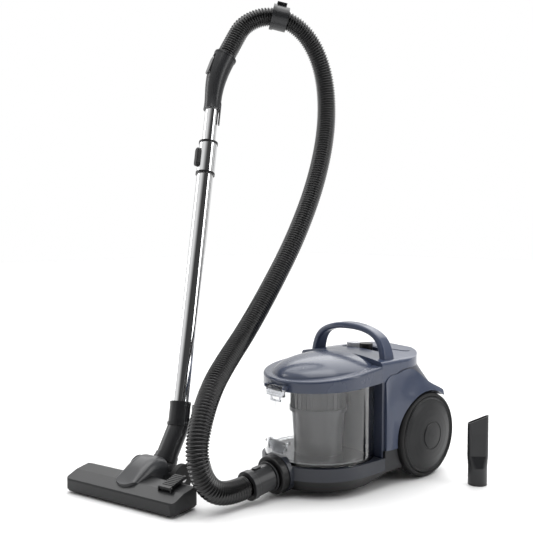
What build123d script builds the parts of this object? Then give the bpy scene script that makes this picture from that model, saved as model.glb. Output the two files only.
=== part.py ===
from build123d import *
import math
import os

# Canister vacuum cleaner, in millimetres, +Z up, canister facing -Y.
# The canister is drawn about the middle of its rear axle, the floor nozzle about the
# middle of its front edge, and the wand along its own leaning axis.

os.makedirs("parts", exist_ok=True)

# ---------------------------------------------------------------- driving dimensions
AXLE_X = 55.13              # middle of the rear axle in the model's frame
AXLE_Y = 249.45
WHEEL_R = 83.5              # rear wheel radius, so also the height of its axle
WHEEL_FACE = 122.0          # outer face of the tyre from the middle plane
TYRE_WIDTH = 24.0
WELL_R = 88.0               # wheel arch radius
WELL_WALL = 95.0            # inner wall of the wheel well from the middle plane
BIN_Y = -185.0              # middle of the round front of the canister
PLAN_R = 112.0              # half width of the lower housing and radius of its front
SHELL_HALF = 108.0          # half width of the body shell
SHELL_FRONT = -127.5        # upright wall behind the dust bin
REAR_Y = 72.0
PAN_Z = 12.0
BAND_Z = 33.0
DECK_Z = 57.0               # deck that the dust bin stands on
FAIRING_Z = 70.0
WALL = 3.0
GAP = 0.3                   # running clearance between bodies
BIN_R = 106.0
BIN_BACK = -129.0           # flat back of the dust bin
BIN_WALL = 2.5
LID_R = 109.5
LID_BACK = -128.0
LID_FRONT_Z = 193.0         # lower edge of the lid at its front
LID_RISE = 0.05             # slope of the lid's lower edge towards the rear
CYCLONE_Y = -189.0
SHROUD_R = 54.0
SADDLE_BACK = -73.0         # seam between the carry handle's saddle and the top cover
ROOF_EDGE_Z = 239.0
ROOF_TOP_Z = 250.0
INLET_Y = -290.0
INLET_Z = 42.0
INLET_PITCH = 8.0           # downward tilt of the hose connector, degrees
HOSE_OD = 42.0
HOSE_WALL = 2.0
CONNECTOR_LENGTH = 82.0
DUCT_HALF = 30.0            # half width of the opening for the air duct
OUTER_TUBE_R = 17.5
INNER_TUBE_R = 14.5
TUBE_WALL = 1.0
NOZZLE_X = -147.0           # middle of the nozzle's front edge, from the axle
NOZZLE_Y = -552.0
NOZZLE_YAW = 14.4
NOZZLE_WIDTH = 262.0
NOZZLE_DEPTH = 72.0
NECK_LEAN = 35.0            # lean of the elbow's swivel axis
PIVOT_BACK = 118.0          # nozzle pivot behind the front edge
PIVOT_Z = 27.0
RING_DIST = 27.0            # pivot to the elbow's swivel ring
BEND_DIST = 94.0            # pivot to the bend of the neck
WAND_DIR = Vector(-0.172, 0.263, 0.949).normalized()
NECK_TOP = 50.0             # distances along the wand from the neck's bend
OUTER_TUBE_END = 588.0
HANDLE_START = 678.0
HANDLE_STRAIGHT = 42.0
HANDLE_BEND_R = 240.0
HANDLE_BEND = 21.0

# The hose's route from the connector to the handle, from the axle, chosen by hand.
HOSE_ROUTE = [
    (0, -418, 24),
    (-1, -462, 47),
    (-6, -480, 98),
    (-22, -460, 152),
    (-50, -412, 207),
    (-87, -345, 245),
    (-124, -265, 290),
    (-148, -180, 368),
    (-164, -92, 470),
    (-180, -12, 595),
    (-194, 36, 720),
    (-205, 42, 830),
    (-218, 14, 910),
    (-240, -30, 955),
    (-275, -76, 968),
    (-306, -118, 946),
]
CLIP_RUN = 13               # the hose clip sits on the run that follows this point


# ---------------------------------------------------------------- planes and helpers
def spot(x, y, z):
    """A point given from the middle of the axle, in the model's frame."""
    return Vector(AXLE_X + x, AXLE_Y + y, z)


def level(z):
    return Plane(origin=spot(0, 0, z), x_dir=(1, 0, 0), z_dir=(0, 0, 1))


def side(x):
    """Upright plane facing +X, with local x along Y and local y along Z."""
    return Plane(origin=spot(x, 0, 0), x_dir=(0, 1, 0), z_dir=(1, 0, 0))


def front(y):
    """Upright plane facing -Y, with local x along X and local y along Z."""
    return Plane(origin=spot(0, y, 0), x_dir=(1, 0, 0), z_dir=(0, -1, 0))


pitch = math.radians(INLET_PITCH)
INLET_DIR = Vector(0, -math.cos(pitch), -math.sin(pitch))
INLET_ORIGIN = spot(0, INLET_Y, INLET_Z)


def inlet(distance):
    """Plane across the hose connector, a distance along its axis."""
    return Plane(origin=INLET_ORIGIN + INLET_DIR * distance, x_dir=(1, 0, 0), z_dir=INLET_DIR)


yaw = math.radians(NOZZLE_YAW)
NOZZLE_SIDE = Vector(math.cos(yaw), math.sin(yaw), 0)
NOZZLE_BACK = Vector(-math.sin(yaw), math.cos(yaw), 0)
NOZZLE_ORIGIN = spot(NOZZLE_X, NOZZLE_Y, 0)


def nozzle_point(across, back, z):
    return NOZZLE_ORIGIN + NOZZLE_SIDE * across + NOZZLE_BACK * back + Vector(0, 0, z)


def nozzle_level(z):
    return Plane(origin=nozzle_point(0, 0, z), x_dir=NOZZLE_SIDE, z_dir=(0, 0, 1))


def nozzle_side(across):
    """Upright plane across the nozzle, with local x backwards and local y up."""
    return Plane(origin=nozzle_point(across, 0, 0), x_dir=NOZZLE_BACK, z_dir=NOZZLE_SIDE)


lean = math.radians(NECK_LEAN)
NECK_DIR = NOZZLE_BACK * math.sin(lean) + Vector(0, 0, math.cos(lean))
PIVOT = nozzle_point(0, PIVOT_BACK, PIVOT_Z)
BEND = PIVOT + NECK_DIR * BEND_DIST
RIGHTWARD = Vector(0.669, 0.743, 0)
CURVE_DIR = (RIGHTWARD - WAND_DIR * RIGHTWARD.dot(WAND_DIR)).normalized()


def wand(distance):
    """Plane across the wand, a distance above the neck's bend; x is the handle's bend side."""
    return Plane(origin=BEND + WAND_DIR * distance, x_dir=CURVE_DIR, z_dir=WAND_DIR)


def neck(distance):
    """Plane across the elbow's swivel axis, a distance above the nozzle's pivot."""
    return Plane(origin=PIVOT + NECK_DIR * distance, x_dir=NOZZLE_SIDE, z_dir=NECK_DIR)


def handle_point(angle):
    """Plane across the grip where it has bent by this many degrees."""
    turn = math.radians(angle)
    start = BEND + WAND_DIR * (HANDLE_START + HANDLE_STRAIGHT)
    middle = start + CURVE_DIR * (HANDLE_BEND_R * (1 - math.cos(turn)))
    middle = middle + WAND_DIR * (HANDLE_BEND_R * math.sin(turn))
    along = WAND_DIR * math.cos(turn) + CURVE_DIR * math.sin(turn)
    across = CURVE_DIR * math.cos(turn) - WAND_DIR * math.sin(turn)
    return Plane(origin=middle, x_dir=across, z_dir=along)


def lid_line(y):
    """Height of the sloping parting line between lid and dust bin."""
    return LID_FRONT_Z + LID_RISE * (y + 296)


def u_plan(radius, rear, corner):
    """Plan of the canister: round front, straight sides, rounded rear corners."""
    with Locations((0, BIN_Y)):
        Circle(radius)
    with Locations((0, (BIN_Y + rear) / 2)):
        Rectangle(2 * radius, rear - BIN_Y)
    fillet(vertices().sort_by(Axis.Y)[-2:], corner)


def d_plan(radius, back):
    """Plan of the dust bin: round front with a flat back."""
    with Locations((0, BIN_Y)):
        Circle(radius)
        with Locations((0, radius + back - BIN_Y)):
            Rectangle(3 * radius, 2 * radius, mode=Mode.SUBTRACT)


def lid_plan(radius, back):
    """Plan of the lid: round front running into straight sides, with a flat back."""
    d_plan(radius, back)
    with Locations((0, (BIN_Y + back) / 2)):
        Rectangle(2 * radius, back - BIN_Y)


def tilted_band(below, above, flare=0.0):
    """Keep what lies between two lines along the parting line; flare steepens the upper one."""
    with BuildSketch(side(-150)) as band:
        with BuildLine():
            Polyline(
                (-320, lid_line(-320) + below),
                (-100, lid_line(-100) + below),
                (-100, lid_line(-100) + above + flare * 196),
                (-320, lid_line(-320) + above - flare * 24),
                close=True,
            )
        make_face()
    extrude(band.sketch, amount=300, mode=Mode.INTERSECT)


def wheel_drums(radius, inner, outer, mode):
    """A drum about the axle at each rear wheel."""
    for hand in (-1, 1):
        with BuildSketch(side(hand * inner)) as drum:
            with Locations((0, WHEEL_R)):
                Circle(radius)
        extrude(drum.sketch, amount=hand * (outer - inner), mode=mode)


def cut_away(y_low, y_high, z_low, z_high):
    """Remove a block across the whole width."""
    with BuildSketch(side(-160)) as block:
        with BuildLine():
            Polyline((y_low, z_low), (y_high, z_low), (y_high, z_high), (y_low, z_high), close=True)
        make_face()
    extrude(block.sketch, amount=320, mode=Mode.SUBTRACT)


def finish(part, name):
    part.label = name
    export_step(part, f"parts/{name}.step")


# ---------------------------------------------------------------- lower housing
CASTER_Y = -212.0
CASTER_WELL_R = 19.0
CASTER_PIN_R = 3.0
COLLAR_R = 33.0
FLANGE_R = 36.0
COLLAR_BORE = 25.6
PAN_FLOOR = 2.5
MOTOR_X = -36.0
MOTOR_Z = 118.0
MOTOR_R = 46.0
CRADLE_PLACES = (-54, 26)
SCREW_PLACES = ((-60, -150), (60, -150), (-60, 45), (60, 45))


def bevel_corner(place, hand, outer_z, inner_x):
    """Triangle below the sloping lower side edge, at one station."""
    with BuildSketch(front(place)) as corner:
        with BuildLine():
            Polyline((hand * 116, outer_z), (hand * inner_x, 8), (hand * 116, 8), close=True)
        make_face()
    return corner.sketch


def side_bevel(lift):
    """Sweep the lower side edges up behind the round front."""
    for hand in (-1, 1):
        start = bevel_corner(-205, hand, 14 + lift, 110)
        full = bevel_corner(-115, hand, 31 + lift, 70 - lift)
        end = bevel_corner(90, hand, 31 + lift, 70 - lift)
        loft([start, full, end], ruled=True, mode=Mode.SUBTRACT)


with BuildPart() as pan_space:
    with BuildSketch(level(PAN_Z + PAN_FLOOR)):
        u_plan(PLAN_R - 14, REAR_Y - 14, 24)
    with BuildSketch(level(BAND_Z + 1)):
        u_plan(PLAN_R - 3, REAR_Y - 3, 33)
    loft()
    wheel_drums(WELL_R + WALL, WELL_WALL - WALL, 130, Mode.SUBTRACT)
    side_bevel(5)

with BuildPart() as base_pan:
    with BuildSketch(level(PAN_Z)):
        u_plan(PLAN_R - 12, REAR_Y - 12, 26)
    with BuildSketch(level(BAND_Z)):
        u_plan(PLAN_R, REAR_Y, 36)
    loft()
    add(pan_space.part, mode=Mode.SUBTRACT)
    wheel_drums(WELL_R, WELL_WALL, 130, Mode.SUBTRACT)
    side_bevel(0)
    with BuildSketch(level(PAN_Z)):
        with Locations((0, CASTER_Y)):
            Circle(CASTER_WELL_R + 2.5)
    extrude(amount=18.5)
    with BuildSketch(level(PAN_Z)):
        with Locations((0, CASTER_Y)):
            Circle(CASTER_WELL_R)
    extrude(amount=16, mode=Mode.SUBTRACT)
    with BuildSketch(level(PAN_Z)):
        with Locations((0, CASTER_Y)):
            Circle(CASTER_PIN_R + 0.05)
    extrude(amount=20, mode=Mode.SUBTRACT)
    for place in CRADLE_PLACES:
        with BuildSketch(front(place + 8)):
            with Locations((MOTOR_X, 54)):
                Rectangle(80, 80)
        extrude(amount=8)
    with BuildSketch(front(80)):
        with Locations((MOTOR_X, MOTOR_Z)):
            Circle(MOTOR_R)
    extrude(amount=150, mode=Mode.SUBTRACT)
    with BuildSketch(level(PAN_Z)):
        with Locations(*SCREW_PLACES):
            Circle(5.5)
    extrude(amount=16)
    with BuildSketch(level(PAN_Z)):
        with Locations(*SCREW_PLACES):
            Circle(3.8)
    extrude(amount=4, mode=Mode.SUBTRACT)
    with BuildSketch(level(PAN_Z)):
        with Locations(*SCREW_PLACES):
            Circle(1.85)
    extrude(amount=20, mode=Mode.SUBTRACT)
    with BuildSketch(inlet(-4.1)):
        Circle(38.1)
    extrude(amount=40, mode=Mode.SUBTRACT)
    with BuildSketch(inlet(-6.1)):
        Circle(COLLAR_BORE + 1.05)
    extrude(amount=10, mode=Mode.SUBTRACT)
finish(base_pan.part, "base_pan")

# Band round the front, with the deck that carries the dust bin.
BAND_BACK = -122.0
with BuildPart() as front_band:
    with BuildSketch(level(BAND_Z)):
        u_plan(PLAN_R, REAR_Y, 36)
    extrude(amount=DECK_Z - BAND_Z)
    with BuildSketch(level(BAND_Z - 1)):
        u_plan(PLAN_R - WALL, REAR_Y - WALL, 33)
    extrude(amount=DECK_Z - BAND_Z - 2, mode=Mode.SUBTRACT)
    cut_away(BAND_BACK, 100, 0, 100)
    with BuildSketch(inlet(-4)):
        Circle(38)
    extrude(amount=13)
    cut_away(-292.5, -200, DECK_Z, 120)
    cut_away(-320, -200, 74, 120)
    with BuildSketch(inlet(5)):
        Circle(COLLAR_R + 0.05)
    extrude(amount=40, mode=Mode.SUBTRACT)
    with BuildSketch(inlet(-6)):
        Circle(COLLAR_BORE + 1.05)
    extrude(amount=12, mode=Mode.SUBTRACT)
    with BuildSketch(level(DECK_Z - 5)):
        with Locations((0, -122)):
            Rectangle(2 * DUCT_HALF - 3.4, 5.4)
    extrude(amount=10, mode=Mode.SUBTRACT)
finish(front_band.part, "front_band")

# Charcoal side and rear walls below the body shell.
with BuildPart() as housing_space:
    with BuildSketch(level(BAND_Z - 1)):
        u_plan(SHELL_HALF - WALL, REAR_Y - 7, 17)
    extrude(amount=60)
    wheel_drums(WELL_R + WALL, WELL_WALL - WALL, 130, Mode.SUBTRACT)

with BuildPart() as lower_housing:
    with BuildSketch(level(BAND_Z)):
        u_plan(PLAN_R, REAR_Y, 24)
    extrude(amount=FAIRING_Z - BAND_Z)
    add(housing_space.part, mode=Mode.SUBTRACT)
    wheel_drums(WELL_R, WELL_WALL, 130, Mode.SUBTRACT)
    cut_away(-320, BAND_BACK + GAP, 0, 100)
finish(lower_housing.part, "lower_housing")

# ---------------------------------------------------------------- body shell
SHELL_TOP = 221.0
SHELL_REAR = REAR_Y - 4
SEAM_FRONT_Y = -118.0
SEAM_FRONT_Z = 201.0
SEAM_TOP_Y = -40.0
# Height, rear and corner radius of the shell's plan, from its upright part to the roof.
SHELL_LEVELS = (
    (140, SHELL_REAR, 24),
    (155, SHELL_REAR - 1, 36),
    (172, SHELL_REAR - 5, 54),
    (190, SHELL_REAR - 12, 72),
    (206, SHELL_REAR - 22, 82),
    (SHELL_TOP, SHELL_REAR - 32, 88),
)
FILTER_Z = 180.0
GRILLE_HALF = 56.0
GRILLE_LOW = 84.0
GRILLE_HIGH = 138.0


def keep_seam_side(lift, limit):
    """Keep what lies between the seam under the roof pieces, lifted, and a level."""
    with BuildSketch(side(-150)) as profile:
        with BuildLine():
            Polyline(
                (SEAM_TOP_Y, SHELL_TOP + lift),
                (120, SHELL_TOP + lift),
                (120, limit),
                (-140, limit),
                (-140, SEAM_FRONT_Z + lift),
                (SEAM_FRONT_Y, SEAM_FRONT_Z + lift),
            )
            Spline(
                [(SEAM_FRONT_Y, SEAM_FRONT_Z + lift), (-84, 214 + lift), (SEAM_TOP_Y, SHELL_TOP + lift)],
                tangents=[(1, 0), (1, 0)],
            )
        make_face()
    extrude(profile.sketch, amount=300, mode=Mode.INTERSECT)


def shell_plan(z, inset, rear, corner):
    with BuildSketch(level(z)) as plan:
        with Locations((0, (SHELL_FRONT + rear) / 2)):
            Rectangle(2 * (SHELL_HALF - inset), rear - SHELL_FRONT - 2 * inset)
        fillet(plan.vertices().sort_by(Axis.Y)[-2:], corner - inset)
    return plan.sketch


def shell_form(inset, low):
    """Body of the shell, upright below, its rear corners drawn in towards the roof."""
    sections = []
    for z, rear, corner in SHELL_LEVELS:
        sections.append(shell_plan(z, inset, rear, corner))
    extrude(sections[0], amount=low - SHELL_LEVELS[0][0])
    loft(sections)
    extrude(sections[-1], amount=40)


with BuildPart() as shell_space:
    shell_form(WALL, FAIRING_Z - 1)
    wheel_drums(WELL_R + WALL, WELL_WALL - WALL, 130, Mode.SUBTRACT)

with BuildPart() as shell_outside:
    shell_form(0, FAIRING_Z)

with BuildPart() as body_shell:
    add(shell_outside.part)
    keep_seam_side(0, 0)
    add(shell_space.part, mode=Mode.SUBTRACT)
    wheel_drums(WELL_R, WELL_WALL, 130, Mode.SUBTRACT)
    with BuildSketch(level(DECK_Z + GAP)):
        with Locations((0, SHELL_FRONT + WALL / 2)):
            Rectangle(2 * SHELL_HALF, WALL)
    extrude(amount=FAIRING_Z - DECK_Z)
    with BuildSketch(front(SHELL_FRONT + 10)):
        with Locations((0, 160)):
            Rectangle(2 * DUCT_HALF, 26)
    extrude(amount=20, mode=Mode.SUBTRACT)
    with BuildSketch(front(REAR_Y + 10)):
        with Locations((0, (GRILLE_LOW + GRILLE_HIGH) / 2)):
            Rectangle(2 * GRILLE_HALF, GRILLE_HIGH - GRILLE_LOW)
        fillet(vertices(), 10)
    extrude(amount=20, mode=Mode.SUBTRACT)
    with BuildSketch(front(REAR_Y + 10)):
        with Locations((76, 111)):
            Circle(9)
    extrude(amount=20, mode=Mode.SUBTRACT)
    wheel_drums(4.05, 80, 110, Mode.SUBTRACT)
    with BuildSketch(level(FILTER_Z - 4)):
        with Locations((0, (SHELL_FRONT - 37) / 2)):
            Rectangle(2 * SHELL_HALF - WALL, -37 - SHELL_FRONT - 1)
        with Locations((0, -76)):
            with GridLocations(22, 16, 5, 3):
                RectangleRounded(16, 10, 2, mode=Mode.SUBTRACT)
    extrude(amount=4)
finish(body_shell.part, "body_shell")

# ---------------------------------------------------------------- side fairings
# Outer x and height at five points, for stations from front to rear: the skin swells over
# the wheel, and behind the roof's seam its top edge falls away to the wheel arch.
FAIRING_STATIONS = (
    (-118, (112.0, 70.3), (112.2, 112), (112.0, 160), (111.2, 182), (110.0, 200.6)),
    (-84, (114.5, 70.3), (115.5, 112), (115.0, 162), (112.2, 188), (109.8, 213.4)),
    (-50, (118.0, 70.3), (120.5, 112), (120.0, 162), (113.8, 190), (110.0, 219.2)),
    (-30, (120.0, 70.3), (123.0, 112), (122.8, 160), (116.0, 188), (111.0, 214.0)),
    (-8, (121.0, 70.3), (124.0, 112), (124.4, 155), (120.0, 178), (113.5, 199.0)),
    (14, (121.0, 70.3), (124.0, 112), (124.6, 148), (122.4, 168), (116.5, 184.5)),
    (34, (120.0, 70.3), (123.5, 112), (124.4, 142), (123.2, 161), (118.5, 175.0)),
    (50, (119.0, 70.3), (122.5, 108), (123.8, 134), (123.2, 152), (119.5, 167.0)),
)
FAIRING_WALL = 2.6


def fairing_station(hand, place, outline, inset, inner):
    """Closed cross-section of a fairing at one station."""
    points = [(hand * (x - inset), z) for x, z in outline]
    points[0] = (points[0][0], outline[0][1] + inset)
    points[-1] = (points[-1][0], outline[-1][1] - inset)
    with BuildSketch(front(place)) as station:
        with BuildLine():
            Spline(points)
            Polyline(points[-1], (hand * inner, points[-1][1]), (hand * inner, points[0][1]), points[0])
        make_face()
    return station.sketch


def fairing_loft(hand, inset, inner):
    """Body of a fairing, drawn in by inset on every outer side."""
    last = len(FAIRING_STATIONS) - 1
    sections = []
    for number, (place, *outline) in enumerate(FAIRING_STATIONS):
        shift = {0: inset, last: -inset}.get(number, 0)
        sections.append(fairing_station(hand, place + shift, outline, inset, inner))
    loft(sections)


with BuildPart() as shell_clearance:
    shell_form(-0.05, FAIRING_Z)


def fairing(hand):
    with BuildPart() as hollow:
        fairing_loft(hand, FAIRING_WALL, 84)
        wheel_drums(WELL_R + FAIRING_WALL, WELL_WALL, 140, Mode.SUBTRACT)
    with BuildPart() as skin:
        fairing_loft(hand, 0, 86)
        add(hollow.part, mode=Mode.SUBTRACT)
        wheel_drums(WELL_R, WELL_WALL - 20, 140, Mode.SUBTRACT)
        add(shell_clearance.part, mode=Mode.SUBTRACT)
    return skin.part


finish(fairing(1), "fairing_left")
finish(fairing(-1), "fairing_right")

# ---------------------------------------------------------------- roof: handle saddle and cover
def roof_section(inset, y_from, y_to, mode):
    """Crowned roof, drawn across the width and run from one y to another."""
    half = SHELL_HALF - inset
    with BuildSketch(front(y_to)) as section:
        with BuildLine():
            ThreePointArc((-half, ROOF_EDGE_Z - inset), (0, ROOF_TOP_Z - inset), (half, ROOF_EDGE_Z - inset))
            Polyline((half, ROOF_EDGE_Z - inset), (half, 190), (-half, 190), (-half, ROOF_EDGE_Z - inset))
        make_face()
        if inset == 0:
            fillet(vertices().group_by(Axis.Y)[-1], 7)
    extrude(section.sketch, amount=y_to - y_from, mode=mode)


ARCH_FRONT = -112.0
ARCH_REAR = -76.0
ARCH_OUTER = ((98, 226), (96, 252), (83, 280), (50, 298), (0, 305))
ARCH_INNER = ((85, 226), (82, 250), (69, 275), (40, 288.5), (0, 292))


def arch_line(points):
    """Curve across the arch, mirrored about its middle."""
    mirrored = [(-x, z) for x, z in points[:-1]]
    Spline(list(points) + mirrored[::-1])


with BuildPart() as arch:
    with BuildSketch(front(ARCH_REAR)):
        with BuildLine():
            arch_line(ARCH_OUTER)
            Line((-ARCH_OUTER[0][0], 226), (-ARCH_INNER[0][0], 226))
            arch_line(ARCH_INNER)
            Line((ARCH_INNER[0][0], 226), (ARCH_OUTER[0][0], 226))
        make_face()
    extrude(amount=ARCH_REAR - ARCH_FRONT)
    with BuildSketch(side(-150)) as taper:
        with BuildLine():
            Polyline((ARCH_FRONT, 220), (ARCH_REAR, 220), (-83, 310), (-106, 310), close=True)
        make_face()
    extrude(taper.sketch, amount=300, mode=Mode.INTERSECT)
    fillet(edges().filter_by(lambda e: e.length > 150), 5)

with BuildPart() as carry_handle:
    roof_section(0, SHELL_FRONT + GAP, SADDLE_BACK, Mode.ADD)
    roof_section(WALL, SHELL_FRONT + GAP + WALL, SADDLE_BACK + 10, Mode.SUBTRACT)
    keep_seam_side(GAP, 340)
    add(arch.part)
finish(carry_handle.part, "carry_handle")

COVER_REAR = SHELL_REAR - 32
COVER_CORNER = 88.0
COVER_WALL = WALL + 0.2     # so that the hollow is a little narrower than the roof section's own
PANEL_Y = -3.0
BAY_Y = -54.0
BAY_FLOOR = 238.0
REWIND_X = -30.0
POWER_X = 4.0


def cover_plan(inset, y_from, mode):
    """Plan and side outline of the top cover, with its rounded rear."""
    with BuildSketch(level(180)) as plan:
        with Locations((0, (y_from + COVER_REAR - inset) / 2)):
            Rectangle(2 * (SHELL_HALF - inset), COVER_REAR - inset - y_from)
        fillet(plan.vertices().sort_by(Axis.Y)[-2:], COVER_CORNER - inset)
    extrude(plan.sketch, amount=100, mode=mode)
    with BuildSketch(side(-150)) as profile:
        with BuildLine():
            Polyline((20 - inset, 260), (-150, 260), (-150, 150), (COVER_REAR - inset, 150))
            Line((COVER_REAR - inset, 150), (COVER_REAR - inset, 236 - inset))
            ThreePointArc((COVER_REAR - inset, 236 - inset), (31 - inset, 246.5 - inset), (20 - inset, 251 - inset))
            Line((20 - inset, 251 - inset), (20 - inset, 260))
        make_face()
    extrude(profile.sketch, amount=300, mode=Mode.INTERSECT)


with BuildPart() as cover_space:
    roof_section(WALL, SADDLE_BACK - 10, 80, Mode.ADD)
    cover_plan(COVER_WALL, SADDLE_BACK - 10, Mode.INTERSECT)
    with BuildSketch(level(BAY_FLOOR - 3)):
        with Locations((0, BAY_Y)):
            SlotOverall(122, 37)
    extrude(amount=30, mode=Mode.SUBTRACT)

with BuildPart() as panel_blank:
    roof_section(-0.8, SADDLE_BACK, 80, Mode.ADD)
    roof_section(1.2, SADDLE_BACK, 80, Mode.SUBTRACT)
    with BuildSketch(level(200)):
        with Locations((0, PANEL_Y)):
            Ellipse(72, 28)
    extrude(amount=80, mode=Mode.INTERSECT)
finish(panel_blank.part, "top_panel")

with BuildPart() as top_cover:
    roof_section(0, SADDLE_BACK + GAP, 80, Mode.ADD)
    cover_plan(0, SADDLE_BACK + GAP, Mode.INTERSECT)
    add(cover_space.part, mode=Mode.SUBTRACT)
    keep_seam_side(GAP, 340)
    with BuildSketch(level(BAY_FLOOR)):
        with Locations((0, BAY_Y)):
            SlotOverall(116, 31)
    extrude(amount=30, mode=Mode.SUBTRACT)
    with BuildSketch(level(BAY_FLOOR - 10)):
        with Locations((REWIND_X, BAY_Y), (POWER_X, BAY_Y)):
            Circle(4.1)
    extrude(amount=20, mode=Mode.SUBTRACT)
    add(panel_blank.part, mode=Mode.SUBTRACT)
finish(top_cover.part, "top_cover")

BUTTON_TRAVEL = 3.0
BUTTON_TOP = 258.0


def foot_button(x, radius, top):
    """Round push button with a guide stem through the bay floor."""
    with BuildPart() as button:
        with BuildSketch(level(BAY_FLOOR + BUTTON_TRAVEL + 0.4)):
            with Locations((x, BAY_Y)):
                Circle(radius)
        extrude(amount=top - BAY_FLOOR - BUTTON_TRAVEL - 0.4)
        fillet(edges().group_by(Axis.Z)[-1], 2)
        with BuildSketch(level(BAY_FLOOR - 9)):
            with Locations((x, BAY_Y)):
                Circle(4)
        extrude(amount=14)
    return button.part


finish(foot_button(REWIND_X, 14, BUTTON_TOP), "rewind_button")
finish(foot_button(POWER_X, 13.5, BUTTON_TOP + 1), "power_button")

# ---------------------------------------------------------------- dust bin
LATCH_HALF = 22.0
LATCH_Y = -299.4            # pin of the lid's latch
LID_LATCH_Z = 202.0
FLOOR_LATCH_Y = -294.4
FLOOR_LATCH_Z = 98.0
CUP_BASE = DECK_Z + 0.6 + 4.4
with BuildPart() as bin_cup:
    with BuildSketch(level(CUP_BASE)):
        d_plan(BIN_R, BIN_BACK)
    extrude(amount=170)
    with BuildSketch(level(CUP_BASE)):
        d_plan(BIN_R - BIN_WALL, BIN_BACK - BIN_WALL)
    extrude(amount=170, mode=Mode.SUBTRACT)
    tilted_band(-200, 4)
    with BuildSketch(front(BIN_BACK + 10)):
        with Locations((0, 160)):
            Rectangle(2 * DUCT_HALF - 4, 22)
    extrude(amount=20, mode=Mode.SUBTRACT)
    for hand in (-1, 1):
        with BuildSketch(side(hand * (LATCH_HALF + 0.5))):
            with Locations((FLOOR_LATCH_Y, FLOOR_LATCH_Z)):
                SlotCenterToCenter(12, 6)
        extrude(amount=hand * 3)
    with BuildSketch(level(CUP_BASE)):
        d_plan(BIN_R - BIN_WALL, BIN_BACK - BIN_WALL)
    extrude(amount=60, mode=Mode.SUBTRACT)
    with BuildSketch(side(-40)):
        with Locations((FLOOR_LATCH_Y, FLOOR_LATCH_Z)):
            Circle(1.55)
    extrude(amount=80, mode=Mode.SUBTRACT)
    cut_away(BIN_BACK - BIN_WALL - 0.1, -100, lid_line(BIN_BACK) - 0.5, 260)
finish(bin_cup.part, "bin_cup")

# Hinged floor of the bin, with a low rim inside the cup.
with BuildPart() as bin_floor:
    with BuildSketch(level(DECK_Z + 0.6)):
        d_plan(BIN_R, BIN_BACK)
    extrude(amount=4.4)
    with BuildSketch(level(CUP_BASE)):
        d_plan(BIN_R - BIN_WALL - 0.05, BIN_BACK - BIN_WALL - 0.05)
        d_plan(BIN_R - BIN_WALL - 4, BIN_BACK - BIN_WALL - 4)
        with Locations((0, BIN_Y)):
            Circle(BIN_R - BIN_WALL - 4, mode=Mode.SUBTRACT)
    extrude(amount=4)
    with BuildSketch(level(DECK_Z + 0.6)):
        with Locations((0, CYCLONE_Y)):
            Circle(46)
    extrude(amount=1.4, mode=Mode.SUBTRACT)
finish(bin_floor.part, "bin_floor")

with BuildPart() as lid_seal:
    with BuildSketch(level(150)):
        d_plan(BIN_R + 0.4, BIN_BACK + 0.2)
        d_plan(BIN_R - BIN_WALL - 1, BIN_BACK - BIN_WALL - 1)
    extrude(amount=80)
    with BuildSketch(level(150)):
        d_plan(BIN_R - BIN_WALL - 1.5, BIN_BACK - BIN_WALL - 1.5)
    extrude(amount=80, mode=Mode.SUBTRACT)
    tilted_band(4 + 0.05, 7)
finish(lid_seal.part, "lid_seal")

LID_SKIRT = 21.0
LID_FLARE = 0.06            # the lid's skirt grows taller towards the rear
DOME_Y = -152.0
with BuildPart() as lid_recess:
    with BuildSketch(level(150)):
        d_plan(LID_R - WALL, LID_BACK - WALL)
    extrude(amount=80)
    tilted_band(-30, LID_SKIRT - WALL - 1)

with BuildPart() as lid_skirt:
    with BuildSketch(level(150)):
        lid_plan(LID_R, LID_BACK)
    extrude(amount=90)
    tilted_band(0, LID_SKIRT, LID_FLARE)
    rim = edges().filter_by(lambda e: e.center().Z > lid_line(BIN_Y) + 12 and e.length > 250)
    fillet(rim, 5)


def dome(inset):
    """Squashed ball that gives the lid its crown, cut flat at the back."""
    ball = scale(Sphere(1), by=(101 - inset, 131 - inset, 41 - inset))
    with BuildPart() as crown:
        add(Location(spot(0, DOME_Y, 211)) * ball)
        cut_away(LID_BACK - inset, 60, 100, 300)
        cut_away(-320, 60, 100, 202)
    return crown.part


crown_outside = dome(0)
crown_inside = dome(WALL)
with BuildPart() as bin_lid:
    add(lid_skirt.part)
    add(crown_outside)
    add(crown_inside, mode=Mode.SUBTRACT)
    with BuildSketch(side(LATCH_HALF + 0.5)):
        with Locations((LATCH_Y, LID_LATCH_Z)):
            SlotCenterToCenter(8, 7, rotation=0)
    extrude(amount=3)
    with BuildSketch(side(-LATCH_HALF - 0.5)):
        with Locations((LATCH_Y, LID_LATCH_Z)):
            SlotCenterToCenter(8, 7, rotation=0)
    extrude(amount=-3)
    add(lid_recess.part, mode=Mode.SUBTRACT)
    with BuildSketch(side(-40)):
        with Locations((LATCH_Y, LID_LATCH_Z)):
            Circle(1.55)
    extrude(amount=80, mode=Mode.SUBTRACT)
finish(bin_lid.part, "bin_lid")


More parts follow.
